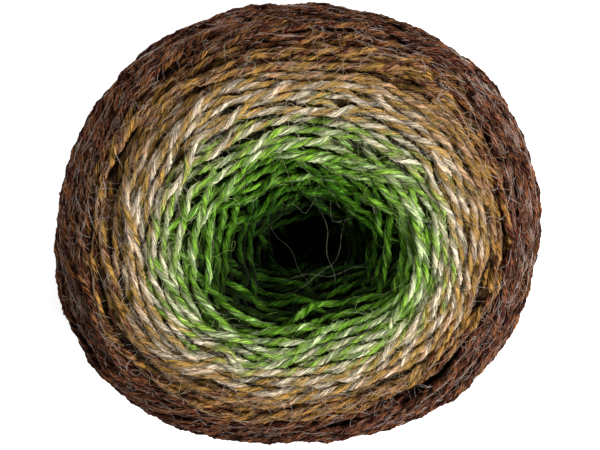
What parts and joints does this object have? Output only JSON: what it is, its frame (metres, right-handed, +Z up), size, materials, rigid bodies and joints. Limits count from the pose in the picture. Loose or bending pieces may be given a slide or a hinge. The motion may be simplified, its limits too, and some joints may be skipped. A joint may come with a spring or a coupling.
{
  "type": "yarn cake",
  "caption": "Cake of two-ply gradient wool yarn, wound into an oval ring with a domed face, round shoulders and a funnel-shaped hollow through its middle.",
  "frame": {"origin": "under the middle of the cake, at the level of the surface that it rests on: the centre of the bottom of its box", "axes": "+Z up, out of the upper face and along the hollow; +X along the long axis of the oval, +Y across it"},
  "size_m": [0.141, 0.1294, 0.0806],
  "materials": {
    "wool": "two-ply fuzzy wool blend, dyed in a gradient from dark brown outside through ochre and cream to green inside"
  },
  "bodies": {
    "root": {"yarn_cake": "wool"}
  },
  "joints": []
}
